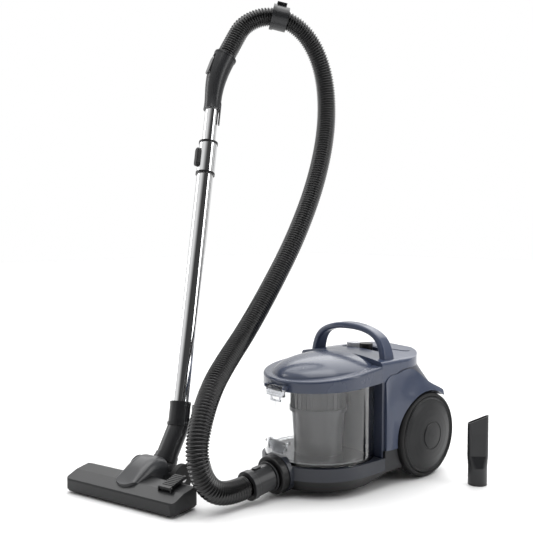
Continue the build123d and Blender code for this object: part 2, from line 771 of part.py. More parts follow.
def latch(pin_z, y_pin, drop, tab):
    """Pivoted clip: a framed block on a pin, with a finger tab below it."""
    with BuildPart() as clip:
        with BuildSketch(side(-LATCH_HALF)):
            with BuildLine():
                Polyline(
                    (y_pin + 2, pin_z + 2),
                    (y_pin - 4, pin_z + 2.4),
                    (y_pin - 5.5, pin_z - 4),
                    (y_pin - 4.5, pin_z - drop),
                    (y_pin + 2, pin_z - drop),
                    close=True,
                )
            make_face()
        extrude(amount=2 * LATCH_HALF)
        with BuildSketch(front(y_pin - 8)):
            with Locations((0, pin_z - drop / 2 + 1)):
                RectangleRounded(2 * LATCH_HALF - 10, drop - 8, 2)
        extrude(amount=-4, mode=Mode.SUBTRACT)
        with BuildSketch(front(y_pin - 3)):
            with Locations((0, pin_z - drop - tab / 2 + 1)):
                Rectangle(2 * LATCH_HALF - 18, tab + 2)
                Rectangle(2 * LATCH_HALF - 24, tab - 4, mode=Mode.SUBTRACT)
        extrude(amount=-3)
        with BuildSketch(side(-LATCH_HALF - 3)):
            with Locations((y_pin, pin_z)):
                Circle(1.5)
        extrude(amount=2 * LATCH_HALF + 6)
    return clip.part


finish(latch(LID_LATCH_Z, LATCH_Y, 17, 10), "lid_latch")
finish(latch(FLOOR_LATCH_Z, FLOOR_LATCH_Y, 15, 5), "floor_latch")

# Cyclone: a ribbed shroud on a plate under the lid, with the collecting cone below it.
SHROUD_LOW = 143.0
RIBS = 30
with BuildPart() as cyclone_shroud:
    with BuildSketch(level(150)):
        d_plan(LID_R - WALL - GAP / 2, LID_BACK - WALL - GAP / 2)
    extrude(amount=80)
    tilted_band(7.1, 9.6)
    with BuildSketch(level(SHROUD_LOW)):
        with Locations((0, CYCLONE_Y)):
            Circle(SHROUD_R - 1.5)
    extrude(amount=lid_line(CYCLONE_Y) + 8 - SHROUD_LOW)
    with BuildSketch(level(SHROUD_LOW)):
        with Locations((0, CYCLONE_Y)):
            with PolarLocations(SHROUD_R - 1.5, RIBS):
                Rectangle(3, 4)
    extrude(amount=48)
    with BuildSketch(level(SHROUD_LOW)):
        with Locations((0, CYCLONE_Y)):
            Circle(SHROUD_R + 2)
    extrude(amount=8)
    with BuildSketch(level(SHROUD_LOW)):
        with Locations((0, CYCLONE_Y)):
            Circle(SHROUD_R - 4)
    extrude(amount=lid_line(CYCLONE_Y) + 5 - SHROUD_LOW, mode=Mode.SUBTRACT)
finish(cyclone_shroud.part, "cyclone_shroud")

CONE_BASE = CUP_BASE + 1.0
with BuildPart() as cyclone_cone:
    with BuildSketch(level(CONE_BASE)):
        with Locations((0, CYCLONE_Y)):
            Circle(46)
    with BuildSketch(level(SHROUD_LOW)):
        with Locations((0, CYCLONE_Y)):
            Circle(SHROUD_R - 3)
    loft()
    with BuildSketch(level(CONE_BASE)):
        with Locations((0, CYCLONE_Y)):
            Circle(44)
    with BuildSketch(level(SHROUD_LOW)):
        with Locations((0, CYCLONE_Y)):
            Circle(SHROUD_R - 5)
    loft(mode=Mode.SUBTRACT)
finish(cyclone_cone.part, "cyclone_cone")

# ---------------------------------------------------------------- rear wheels
AXLE_R = 4.0
HUB_R = 75.0
AXLE_LINE = Axis(spot(0, 0, WHEEL_R), (1, 0, 0))
AXLE_PLANE = Plane(origin=spot(0, 0, WHEEL_R), x_dir=(0, 1, 0), z_dir=(0, 0, -1))
TYRE_IN = WHEEL_FACE - TYRE_WIDTH


def turned(hand, points):
    """Solid turned about the axle from a profile of (radius, distance) points."""
    with BuildPart() as solid:
        with BuildSketch(AXLE_PLANE):
            with BuildLine():
                Polyline([(r, hand * x) for r, x in points], close=True)
            make_face()
        revolve(axis=AXLE_LINE)
    return solid.part


TYRE_PROFILE = (
    (HUB_R, TYRE_IN),
    (WHEEL_R - 3, TYRE_IN),
    (WHEEL_R, TYRE_IN + 4),
    (WHEEL_R, WHEEL_FACE - 5),
    (WHEEL_R - 1.4, WHEEL_FACE - 1.6),
    (WHEEL_R - 4, WHEEL_FACE),
    (HUB_R + 2.5, WHEEL_FACE),
    (HUB_R, WHEEL_FACE - 2),
)
HUB_PROFILE = (
    (AXLE_R + 0.05, TYRE_IN - 1),
    (12, TYRE_IN - 1),
    (12, TYRE_IN + 6),
    (HUB_R - 4, TYRE_IN + 6),
    (HUB_R - 4, TYRE_IN + 1),
    (HUB_R, TYRE_IN + 1),
    (HUB_R, TYRE_IN + 17),
    (HUB_R - 4, TYRE_IN + 17),
    (HUB_R - 4, TYRE_IN + 9),
    (12, TYRE_IN + 9),
    (12, TYRE_IN + 20),
    (AXLE_R + 0.05, TYRE_IN + 20),
)
DISH = ((74.8, 121.0), (72.5, 123.0), (70.0, 121.6), (62, 124.6), (50, 127.6), (38, 129.6), (28.5, 130.6))
HUB_CAP = ((27.5, 129.6), (25.5, 129.6), (24.5, 131.6), (12, 132.6), (0, 133.0))
COVER_PROFILE = DISH + HUB_CAP + ((0, 130.0), (24, 127.6), (50, 124.6), (68, 118.8), (70, 115.2), (74.8, 115.2))


def rear_wheel(hand, name):
    finish(turned(hand, TYRE_PROFILE), f"wheel_tyre_{name}")
    finish(turned(hand, HUB_PROFILE), f"wheel_hub_{name}")
    finish(turned(hand, COVER_PROFILE), f"wheel_cover_{name}")


rear_wheel(1, "left")
rear_wheel(-1, "right")

with BuildPart() as axle_pins:
    for hand in (-1, 1):
        with BuildSketch(side(hand * (WELL_WALL - WALL - 3))):
            with Locations((0, WHEEL_R)):
                Circle(8)
        extrude(amount=hand * 3)
        with BuildSketch(side(hand * (WELL_WALL - WALL))):
            with Locations((0, WHEEL_R)):
                Circle(AXLE_R)
        extrude(amount=hand * 25)
finish(axle_pins.part, "axle_pins")

# ---------------------------------------------------------------- front caster
CASTER_R = 9.0
CASTER_TRAIL = 6.0
with BuildPart() as caster_fork:
    with BuildSketch(level(21.5)):
        with Locations((0, CASTER_Y)):
            Circle(CASTER_WELL_R - 1.5)
    extrude(amount=6)
    with BuildSketch(level(27.5)):
        with Locations((0, CASTER_Y)):
            Circle(CASTER_PIN_R)
    extrude(amount=3.2)
    for hand in (-1, 1):
        with BuildSketch(side(hand * 6.6)):
            with Locations((CASTER_Y + CASTER_TRAIL, CASTER_R)):
                Circle(4)
            with Locations((CASTER_Y + CASTER_TRAIL, 16)):
                Rectangle(8, 14)
        extrude(amount=hand * 2.4)
    with BuildSketch(side(-9)):
        with Locations((CASTER_Y + CASTER_TRAIL, CASTER_R)):
            Circle(1.5)
    extrude(amount=18)
finish(caster_fork.part, "caster_fork")

with BuildPart() as caster_wheel:
    with BuildSketch(side(-6)):
        with Locations((CASTER_Y + CASTER_TRAIL, CASTER_R)):
            Circle(CASTER_R)
            Circle(1.55, mode=Mode.SUBTRACT)
    extrude(amount=12)
    chamfer(edges().filter_by(lambda e: e.length > 40), 1)
finish(caster_wheel.part, "caster_wheel")

# ---------------------------------------------------------------- inside the body
MOTOR_FRONT = -60.0
MOTOR_REAR = 40.0


def motor_disc(y_from, y_to, radius, mode=Mode.ADD):
    with BuildSketch(front(y_to)) as disc:
        with Locations((MOTOR_X, MOTOR_Z)):
            Circle(radius)
    extrude(disc.sketch, amount=y_to - y_from, mode=mode)


with BuildPart() as motor_housing:
    motor_disc(MOTOR_FRONT, MOTOR_REAR, MOTOR_R)
    motor_disc(MOTOR_FRONT + 3, MOTOR_REAR - 3, MOTOR_R - 3, Mode.SUBTRACT)
    motor_disc(MOTOR_FRONT, MOTOR_FRONT + 4, 18, Mode.SUBTRACT)
    motor_disc(MOTOR_REAR - 4, MOTOR_REAR, 4.05, Mode.SUBTRACT)
    with BuildSketch(front(MOTOR_REAR)):
        with Locations((MOTOR_X, MOTOR_Z)):
            with PolarLocations(27, 8):
                Circle(7)
    extrude(amount=4, mode=Mode.SUBTRACT)
finish(motor_housing.part, "motor_housing")

with BuildPart() as motor_fan:
    motor_disc(MOTOR_FRONT + 4, MOTOR_FRONT + 6, 40)
    motor_disc(MOTOR_FRONT + 4, MOTOR_FRONT + 14, 9)
    motor_disc(MOTOR_FRONT + 14, MOTOR_REAR, 4)
    motor_disc(-20, 25, 24)
    with BuildSketch(front(MOTOR_FRONT + 16)):
        with Locations((MOTOR_X, MOTOR_Z)):
            with PolarLocations(24, 9):
                Rectangle(30, 2)
            Circle(10)
    extrude(amount=10)
finish(motor_fan.part, "motor_fan")

REEL_Y = -14.0
REEL_Z = 110.0
with BuildPart() as cord_reel:
    with BuildSketch(side(24)):
        with Locations((REEL_Y, REEL_Z)):
            Circle(30)
    extrude(amount=50)
    for place in (24, 72):
        with BuildSketch(side(place)):
            with Locations((REEL_Y, REEL_Z)):
                Circle(56)
        extrude(amount=2)
    with BuildSketch(side(26)):
        with Locations((REEL_Y, REEL_Z)):
            Circle(27)
    extrude(amount=46, mode=Mode.SUBTRACT)
    with BuildSketch(side(20)):
        with Locations((REEL_Y, REEL_Z)):
            Circle(5.05)
    extrude(amount=60, mode=Mode.SUBTRACT)
finish(cord_reel.part, "cord_reel")

with BuildPart() as reel_axle:
    with BuildSketch(side(18)):
        with Locations((REEL_Y, REEL_Z)):
            Circle(5)
    extrude(amount=74)
    with BuildSketch(side(15)):
        with Locations((REEL_Y, REEL_Z)):
            Circle(9)
        with Locations((REEL_Y, (REEL_Z + PAN_Z + PAN_FLOOR) / 2)):
            Rectangle(12, REEL_Z - PAN_Z - PAN_FLOOR)
    extrude(amount=3)
finish(reel_axle.part, "reel_axle")

DUCT_WALL = 2.0


def duct_profile(inset):
    with BuildSketch(side(-DUCT_HALF + 2 + inset)) as profile:
        with BuildLine():
            Polyline(
                (-279, 31.2 + inset),
                (-104 - inset, 31.2 + inset),
                (-104 - inset, 172 - inset),
                (-124.4 + inset, 172 - inset),
                (-124.4 + inset, 53.8 - inset),
                (-279, 53.8 - inset),
                close=True,
            )
        make_face()
    return profile.sketch


with BuildPart() as air_duct:
    extrude(duct_profile(0), amount=2 * DUCT_HALF - 4)
    extrude(duct_profile(DUCT_WALL), amount=2 * DUCT_HALF - 4 - 2 * DUCT_WALL, mode=Mode.SUBTRACT)
    with BuildSketch(front(-110)):
        with Locations((0, 159)):
            Rectangle(2 * DUCT_HALF - 8, 20)
    extrude(amount=20, mode=Mode.SUBTRACT)
    with BuildSketch(front(-274)):
        with Locations((0, 42.5)):
            Rectangle(2 * DUCT_HALF - 8, 18.6)
    extrude(amount=10, mode=Mode.SUBTRACT)
finish(air_duct.part, "air_duct")

with BuildPart() as pre_motor_filter:
    with BuildSketch(level(FILTER_Z)):
        with Locations((0, -76)):
            RectangleRounded(128, 60, 8)
    extrude(amount=14)
finish(pre_motor_filter.part, "pre_motor_filter")

HEPA_PLEATS = 16
with BuildPart() as hepa_filter:
    with BuildSketch(level(GRILLE_LOW + 1)):
        with Locations((0, 58)):
            Rectangle(104, 13.8)
            Rectangle(98, 9, mode=Mode.SUBTRACT)
        with Locations((0, 58)):
            with GridLocations(98 / HEPA_PLEATS, 0, HEPA_PLEATS, 1):
                Rectangle(1.6, 9)
    extrude(amount=GRILLE_HIGH - GRILLE_LOW - 2)
    with BuildSketch(level(GRILLE_LOW + 1)):
        with Locations((0, 58)):
            Rectangle(104, 13.8)
    extrude(amount=2)
finish(hepa_filter.part, "hepa_filter")

with BuildPart() as exhaust_grille:
    with BuildSketch(front(SHELL_REAR + 1)):
        with Locations((0, (GRILLE_LOW + GRILLE_HIGH) / 2)):
            RectangleRounded(2 * GRILLE_HALF, GRILLE_HIGH - GRILLE_LOW, 10)
            with GridLocations(0, 6.4, 1, 7):
                SlotOverall(96, 3.2, mode=Mode.SUBTRACT)
    extrude(amount=4)
finish(exhaust_grille.part, "exhaust_grille")

with BuildPart() as cord_gland:
    with BuildSketch(front(SHELL_REAR + 2.5)):
        with Locations((76, 111)):
            Circle(11)
    extrude(amount=2.5)
    with BuildSketch(front(SHELL_REAR)):
        with Locations((76, 111)):
            Circle(8.95)
    extrude(amount=10)
    with BuildSketch(front(SHELL_REAR + 5)):
        with Locations((76, 111)):
            Circle(3.8)
    extrude(amount=30, mode=Mode.SUBTRACT)
finish(cord_gland.part, "cord_gland")

# ---------------------------------------------------------------- hose connection
CONNECTOR_R = 25.0
CONNECTOR_START = 6.5
CONNECTOR_UP = Vector(0, -math.sin(pitch), math.cos(pitch))
BUTTON_ALONG = CONNECTOR_LENGTH - 26
button_base = inlet(BUTTON_ALONG).origin + CONNECTOR_UP * (CONNECTOR_R - 1.6)
with BuildPart() as inlet_collar:
    with BuildSketch(inlet(5.1)):
        Circle(COLLAR_R)
    extrude(amount=10)
    with BuildSketch(inlet(9.1)):
        Circle(FLANGE_R)
    extrude(amount=16)
    fillet(edges().group_by(Axis.Y)[0], 3)
    with BuildSketch(inlet(-6)):
        Circle(COLLAR_BORE + 1)
    extrude(amount=12)
    with BuildSketch(inlet(-10)):
        Circle(COLLAR_BORE)
    extrude(amount=50, mode=Mode.SUBTRACT)
    cut_away(-292.3, -260, DECK_Z, 90)
finish(inlet_collar.part, "inlet_collar")

with BuildPart() as hose_connector:
    with BuildSketch(inlet(CONNECTOR_START)):
        Circle(CONNECTOR_R)
    extrude(amount=CONNECTOR_LENGTH - CONNECTOR_START)
    with BuildSketch(inlet(CONNECTOR_LENGTH - 12)):
        Circle(CONNECTOR_R + 2)
    extrude(amount=12)
    with BuildSketch(inlet(27)):
        Circle(CONNECTOR_R + 3)
    extrude(amount=4)
    fillet(edges().filter_by(lambda e: e.length > 165), 1)
    with BuildSketch(inlet(-4)):
        Circle(HOSE_OD / 2 - HOSE_WALL)
    extrude(amount=CONNECTOR_LENGTH + 4, mode=Mode.SUBTRACT)
    with BuildSketch(Plane(button_base - CONNECTOR_UP * 1.4, x_dir=(1, 0, 0), z_dir=CONNECTOR_UP)):
        RectangleRounded(10.4, 16.4, 3)
    extrude(amount=40, mode=Mode.SUBTRACT)
finish(hose_connector.part, "hose_connector")

with BuildPart() as connector_button:
    with BuildSketch(Plane(button_base, x_dir=(1, 0, 0), z_dir=CONNECTOR_UP)):
        RectangleRounded(10, 16, 2.8)
    extrude(amount=4)
    fillet(edges().filter_by(lambda e: (e.center() - button_base).dot(CONNECTOR_UP) > 3.9), 0.8)
finish(connector_button.part, "connector_button")

# ---------------------------------------------------------------- hose
HOSE_START = inlet(CONNECTOR_LENGTH + 0.3).origin
HOSE_END_PLANE = handle_point(HANDLE_BEND)
HOSE_LEAD_OUT = HOSE_END_PLANE.origin + HOSE_END_PLANE.z_dir * 44
route = [HOSE_START] + [spot(*place) for place in HOSE_ROUTE] + [HOSE_LEAD_OUT, HOSE_END_PLANE.origin]
radii = []
for before, here, after in zip(route, route[1:], route[2:]):
    turn = math.radians((here - before).get_angle(after - here))
    run = min((here - before).length, (after - here).length)
    radii.append(0.45 * run / math.tan(turn / 2))
print("hose radii", [round(radius) for radius in radii])

with BuildPart() as suction_hose:
    with BuildLine() as hose_line:
        FilletPolyline(*route, radius=radii)
    with BuildSketch(Plane(origin=HOSE_START, z_dir=route[1] - route[0])):
        Circle(HOSE_OD / 2)
        Circle(HOSE_OD / 2 - HOSE_WALL, mode=Mode.SUBTRACT)
    sweep()
hose_length = hose_line.wire().length
hose_section = math.pi * ((HOSE_OD / 2) ** 2 - (HOSE_OD / 2 - HOSE_WALL) ** 2)
print("hose length", round(hose_length), "volume ratio", suction_hose.part.volume / hose_section / hose_length)
finish(suction_hose.part, "suction_hose")

clip_from = spot(*HOSE_ROUTE[CLIP_RUN])
clip_to = spot(*HOSE_ROUTE[CLIP_RUN + 1])
clip_dir = (clip_to - clip_from).normalized()
clip_middle = (clip_from + clip_to) * 0.5
clip_up = (Vector(0, 0, 1) - clip_dir * clip_dir.Z).normalized()
CLIP_LENGTH = 36.0
CLIP_R = 27.5
CLIP_BORE = 23.0


def clip_plane(along):
    return Plane(origin=clip_middle + clip_dir * along, x_dir=clip_up, z_dir=clip_dir)


with BuildPart() as hose_clip:
    with BuildSketch(clip_plane(-CLIP_LENGTH / 2)):
        Circle(CLIP_R)
    extrude(amount=CLIP_LENGTH)
    with BuildSketch(clip_plane(CLIP_LENGTH / 2 - 7)):
        Circle(CLIP_R + 1.5)
    extrude(amount=7)
    with BuildSketch(clip_plane(-10)):
        with Locations((CLIP_R + 1.5, 0)):
            Rectangle(6, 10)
        with Locations((CLIP_R + 4.5, 0)):
            Rectangle(2.5, 22)
    extrude(amount=22)
    with BuildSketch(clip_plane(-CLIP_LENGTH)):
        Circle(CLIP_BORE)
    extrude(amount=2 * CLIP_LENGTH, mode=Mode.SUBTRACT)
finish(hose_clip.part, "hose_clip")

# ---------------------------------------------------------------- wand
def ring(plane, length, radius, mode=Mode.ADD):
    """Round bar on a plane."""
    with BuildSketch(plane) as disc:
        Circle(radius)
    extrude(disc.sketch, amount=length, mode=mode)


def round_loft(stations, mode=Mode.ADD):
    """Smooth round body through (plane, radius) stations."""
    discs = []
    for plane, radius in stations:
        with BuildSketch(plane) as disc:
            Circle(radius)
        discs.append(disc.sketch)
    loft(discs, mode=mode)


GRIP_TOP = HANDLE_START + HANDLE_STRAIGHT
SLIDER_ANGLE = 14.0
SLIDER_LENGTH = 44.0
SLIDER_TRAVEL = 8.0
THUMB_TURN = math.radians(30)


def slider_plane(depth, shift):
    """Plane on the grip's outer side, turned a little from the back of the bend."""
    grip = handle_point(SLIDER_ANGLE)
    outward = grip.x_dir.cross(grip.z_dir) * math.sin(THUMB_TURN) - grip.x_dir * math.cos(THUMB_TURN)
    centre = grip.origin + outward * depth + grip.z_dir * shift
    return Plane(origin=centre, x_dir=grip.z_dir, z_dir=outward)


with BuildPart() as handle_grip:
    round_loft(
        (
            (wand(HANDLE_START), 19),
            (wand(GRIP_TOP), 19.5),
            (handle_point(7), 22),
            (handle_point(14), 24),
            (handle_point(HANDLE_BEND), 25),
        )
    )
    ring(handle_point(HANDLE_BEND - 0.1), 4, 26)
    with BuildSketch(wand(HANDLE_START - 33)):
        with Locations((17.6, 0)):
            RectangleRounded(3, 10, 1)
    extrude(amount=50)
    ring(wand(HANDLE_START - 1), 26.5, INNER_TUBE_R + 0.05, Mode.SUBTRACT)
    round_loft(
        (
            (wand(HANDLE_START + 25.4), 14),
            (wand(GRIP_TOP), 14.8),
            (handle_point(7), 17),
            (handle_point(14), 18.6),
            (handle_point(HANDLE_BEND + 0.5), 19.5),
        ),
        Mode.SUBTRACT,
    )
    ring(handle_point(HANDLE_BEND - 0.5), 10, HOSE_OD / 2 + 1, Mode.SUBTRACT)
    with BuildSketch(slider_plane(20.6, 0)):
        SlotOverall(SLIDER_LENGTH + SLIDER_TRAVEL + 1, 18.6)
    extrude(amount=10, mode=Mode.SUBTRACT)
finish(handle_grip.part, "handle_grip")

with BuildPart() as suction_slider:
    with BuildSketch(slider_plane(20.9, -SLIDER_TRAVEL / 2)):
        SlotOverall(SLIDER_LENGTH, 18)
    extrude(amount=3.8)
    chamfer(edges().filter_by(lambda e: slider_plane(20.9, 0).to_local_coords(e.center()).Z > 3.7), 0.8)
finish(suction_slider.part, "suction_slider")

INNER_TUBE_LOW = 225.0
with BuildPart() as inner_tube:
    ring(wand(INNER_TUBE_LOW), HANDLE_START + 25 - INNER_TUBE_LOW, INNER_TUBE_R)
    ring(wand(INNER_TUBE_LOW - 1), 500, INNER_TUBE_R - TUBE_WALL, Mode.SUBTRACT)
finish(inner_tube.part, "inner_tube")

SLEEVE_LOW = 532.0
SLEEVE_HIGH = 597.0
THUMB_DIR = CURVE_DIR.cross(WAND_DIR) * math.sin(THUMB_TURN) - CURVE_DIR * math.cos(THUMB_TURN)


def thumb_plane(depth):
    """Plane facing outwards under the telescope button, a distance from the wand's axis."""
    return Plane(origin=wand(563).origin + THUMB_DIR * depth, x_dir=WAND_DIR, z_dir=THUMB_DIR)


with BuildPart() as telescope_collar:
    ring(wand(SLEEVE_LOW), SLEEVE_HIGH - SLEEVE_LOW, 19.4)
    ring(wand(SLEEVE_LOW - 1), OUTER_TUBE_END + 1 - SLEEVE_LOW, OUTER_TUBE_R + 0.05, Mode.SUBTRACT)
    ring(wand(SLEEVE_LOW), 80, INNER_TUBE_R + 0.08, Mode.SUBTRACT)
    with BuildSketch(thumb_plane(17.7)):
        SlotOverall(47, 15.6)
    extrude(amount=10, mode=Mode.SUBTRACT)
finish(telescope_collar.part, "telescope_collar")

with BuildPart() as collar_rings:
    for low in (SLEEVE_LOW - 5, SLEEVE_HIGH):
        ring(wand(low), 5, 20.4)
    ring(wand(SLEEVE_LOW - 6), 10, OUTER_TUBE_R + 0.05, Mode.SUBTRACT)
    ring(wand(SLEEVE_LOW), 80, INNER_TUBE_R + 0.08, Mode.SUBTRACT)
finish(collar_rings.part, "collar_rings")

with BuildPart() as telescope_button:
    with BuildSketch(thumb_plane(18)):
        SlotOverall(42, 15)
    extrude(amount=8)
    chamfer(edges().filter_by(lambda e: thumb_plane(18).to_local_coords(e.center()).Z > 7.9), 1.5)
finish(telescope_button.part, "telescope_button")

with BuildPart() as outer_tube:
    ring(wand(10), OUTER_TUBE_END - 10, OUTER_TUBE_R)
    ring(wand(9), 700, OUTER_TUBE_R - TUBE_WALL, Mode.SUBTRACT)
finish(outer_tube.part, "outer_tube")

NECK_START = RING_DIST + 3.3
with BuildPart() as wand_neck:
    ring(neck(NECK_START), 7, 23)
    ring(neck(NECK_START), BEND_DIST - NECK_START, 21)
    with Locations(BEND):
        Sphere(21)
    ring(wand(0), NECK_TOP, 20.5)
    ring(wand(4), 6, 22.4)
    ring(wand(NECK_TOP - 6), 6, 21.2)
    with BuildSketch(wand(11)):
        with Locations((22.5, 0)):
            Rectangle(9, 14)
    extrude(amount=7)
    with BuildSketch(wand(11)):
        with Locations((25.5, 0)):
            Rectangle(3, 14)
    extrude(amount=35)
    ring(neck(NECK_START - 1), BEND_DIST - NECK_START + 1, 16.4, Mode.SUBTRACT)
    with Locations(BEND):
        Sphere(16.4, mode=Mode.SUBTRACT)
    ring(wand(0), 20, 16.4, Mode.SUBTRACT)
    ring(wand(9.7), 60, OUTER_TUBE_R + 0.05, Mode.SUBTRACT)
finish(wand_neck.part, "wand_neck")

# ---------------------------------------------------------------- elbow and nozzle
DRUM_R = 22.0
DRUM_HALF = 28.0
STUB_R = 3.0


def nozzle_drum(across, length, radius, mode=Mode.ADD):
    """Round bar about the nozzle's pivot line."""
    with BuildSketch(nozzle_side(across)) as disc:
        with Locations((PIVOT_BACK, PIVOT_Z)):
            Circle(radius)
    extrude(disc.sketch, amount=length, mode=mode)


with BuildPart() as elbow:
    nozzle_drum(-DRUM_HALF, 2 * DRUM_HALF, DRUM_R)
    ring(neck(0), RING_DIST + 3, DRUM_R)
    ring(neck(RING_DIST - 4), 7, 24)
    nozzle_drum(3.5 - DRUM_HALF, 2 * DRUM_HALF - 7, DRUM_R - 3, Mode.SUBTRACT)
    ring(neck(5), RING_DIST, 16.4, Mode.SUBTRACT)
    nozzle_drum(-DRUM_HALF - 1, 2 * DRUM_HALF + 2, STUB_R + 0.05, Mode.SUBTRACT)
    with BuildSketch(nozzle_side(4 - DRUM_HALF)):
        with Locations((PIVOT_BACK - 20, PIVOT_Z)):
            Rectangle(24, 20)
    extrude(amount=2 * DRUM_HALF - 8, mode=Mode.SUBTRACT)
finish(elbow.part, "elbow")

NOZZLE_PROFILE = ((1, 7), (0, 24), (2, 27), (30, 37), (60, 41), (70, 38), (72, 30), (72, 8))


def nozzle_block(inset, low):
    """Body of the floor nozzle, drawn in by inset."""
    middle = NOZZLE_DEPTH / 2
    with BuildPart() as block:
        with BuildSketch(nozzle_level(0)) as plan:
            with Locations((0, middle)):
                RectangleRounded(NOZZLE_WIDTH - 2 * inset, NOZZLE_DEPTH - 2 * inset, 10 - inset)
        extrude(plan.sketch, amount=80)
        with BuildSketch(nozzle_side(-NOZZLE_WIDTH)) as profile:
            with BuildLine():
                Polyline([(v, low if z < 10 else z - inset) for v, z in NOZZLE_PROFILE], close=True)
            make_face()
        extrude(profile.sketch, amount=2 * NOZZLE_WIDTH, mode=Mode.INTERSECT)
    return block.part


cover_outside = nozzle_block(0, 7)
cover_inside = nozzle_block(2.5, 0)
PEDAL_ACROSS = 93.0
with BuildPart() as nozzle_cover:
    add(cover_outside)
    add(cover_inside, mode=Mode.SUBTRACT)
    with BuildSketch(nozzle_level(12)):
        with Locations((0, NOZZLE_DEPTH - 2)):
            Rectangle(44, 8)
    extrude(amount=15, mode=Mode.SUBTRACT)
    for edge in (-1, 1):
        with BuildSketch(nozzle_side(PEDAL_ACROSS + edge * 14 - 1)):
            with Locations((27, 40)):
                Circle(4)
            with Locations((27, 36.5)):
                Rectangle(8, 7)
        extrude(amount=2)
    with BuildSketch(nozzle_side(PEDAL_ACROSS - 20)):
        with Locations((27, 40)):
            Circle(1.55)
    extrude(amount=40, mode=Mode.SUBTRACT)
    with BuildSketch(nozzle_level(20)):
        with Locations((PEDAL_ACROSS, 61)):
            Rectangle(11, 18)
    extrude(amount=30, mode=Mode.SUBTRACT)
finish(nozzle_cover.part, "nozzle_cover")

with BuildPart() as nozzle_pedal:
    with BuildSketch(nozzle_side(PEDAL_ACROSS - 12)):
        with BuildLine():
            Polyline((24, 42), (30, 40.5), (70, 48.5), (71, 51.5), (66, 54), (24, 44), close=True)
        make_face()
        with Locations((27, 40)):
            Circle(2.6)
    extrude(amount=24)
    with BuildSketch(nozzle_side(PEDAL_ACROSS - 14.5)):
        with Locations((27, 40)):
            Circle(1.5)
    extrude(amount=29)
    with BuildSketch(nozzle_side(PEDAL_ACROSS - 3)):
        with Locations((61, 34)):
            Rectangle(5, 34)
    extrude(amount=6)
    for number in range(7):
        back = 32 + 5 * number
        with BuildSketch(nozzle_side(PEDAL_ACROSS - 11)):
            with Locations((back, 44 + (back - 24) * 10 / 42)):
                Circle(0.9)
        extrude(amount=22)
finish(nozzle_pedal.part, "nozzle_pedal")

BASE_TOP = 10.0
with BuildPart() as nozzle_base:
    with BuildSketch(nozzle_level(4)):
        with Locations((0, NOZZLE_DEPTH / 2)):
            RectangleRounded(NOZZLE_WIDTH - 5.4, NOZZLE_DEPTH - 5.4, 7)
        with Locations((0, 24)):
            RectangleRounded(206, 22, 4, mode=Mode.SUBTRACT)
        with Locations((0, 48)):
            Rectangle(202.8, 8.8, mode=Mode.SUBTRACT)
    extrude(amount=BASE_TOP - 4)
    with BuildSketch(nozzle_level(0)):
        with Locations((0, NOZZLE_DEPTH / 2)):
            with GridLocations(226, 44, 2, 2):
                Circle(5)
    extrude(amount=4.5)
finish(nozzle_base.part, "nozzle_base")

BRUSH_LIFT = 4.0
with BuildPart() as brush_strip:
    with BuildSketch(nozzle_level(8)):
        with Locations((0, 48)):
            Rectangle(202, 8)
    extrude(amount=8)
    with BuildSketch(nozzle_level(0.3)):
        with Locations((0, 48)):
            with GridLocations(6.6, 0, 30, 1):
                Rectangle(5, 5)
    extrude(amount=8)
finish(brush_strip.part, "brush_strip")

HOOD_STATIONS = ((12, 24, 35, 4), (44, 28, 54, 16), (80, 31, 69, 21), (105, 33, 64, 19))
HOOD_WALL = 2.5


def hood_form(inset, low):
    """Domed cover of the elbow, ending in a rounded tongue that lies on the nozzle."""
    sections = []
    for back, half, top, corner in HOOD_STATIONS:
        plane = Plane(origin=nozzle_point(0, back, (top - inset + low) / 2), x_dir=NOZZLE_SIDE, z_dir=NOZZLE_BACK)
        with BuildSketch(plane) as section:
            RectangleRounded(2 * (half - inset), top - inset - low, corner - inset)
        sections.append(section.sketch)
    with BuildPart() as form:
        loft(sections)
        with BuildSketch(nozzle_level(-20)) as tongue:
            with Locations((0, 42)):
                Circle(29 - inset)
            with Locations((0, 92)):
                Rectangle(80, 100)
        extrude(tongue.sketch, amount=120, mode=Mode.INTERSECT)
    return form.part


hood_outside = hood_form(0, 0)
hood_inside = hood_form(HOOD_WALL, -6)
with BuildPart() as nozzle_hood:
    add(hood_outside)
    for edge in (-1, 1):
        with BuildSketch(nozzle_side(edge * 30.3)):
            with Locations((PIVOT_BACK, PIVOT_Z)):
                Circle(10)
            with Locations((PIVOT_BACK - 13, PIVOT_Z)):
                Rectangle(26, 20)
        extrude(amount=edge * 2.7)
    add(hood_inside, mode=Mode.SUBTRACT)
    with BuildSketch(nozzle_side(-30)):
        with Locations((PIVOT_BACK, PIVOT_Z)):
            Circle(24)
    extrude(amount=60, mode=Mode.SUBTRACT)
    nozzle_drum(-40, 80, STUB_R + 0.05, Mode.SUBTRACT)
    with BuildSketch(nozzle_level(-10)):
        with Locations((0, 60)):
            Rectangle(200, 200)
    extrude(amount=27, mode=Mode.SUBTRACT)
    add(cover_outside, mode=Mode.SUBTRACT)
    with BuildSketch(nozzle_level(10)):
        with Locations((0, 36)):
            Rectangle(200, 71)
    extrude(amount=20, mode=Mode.SUBTRACT)
finish(nozzle_hood.part, "nozzle_hood")

NOZZLE_WHEEL_R = PIVOT_Z
with BuildPart() as nozzle_wheels:
    for edge in (-1, 1):
        nozzle_drum(46 if edge > 0 else -58, 12, NOZZLE_WHEEL_R)
    rims = edges().filter_by(lambda e: e.length > 160)
    fillet(rims, 2)
    nozzle_drum(-70, 140, STUB_R + 0.05, Mode.SUBTRACT)
finish(nozzle_wheels.part, "nozzle_wheels")

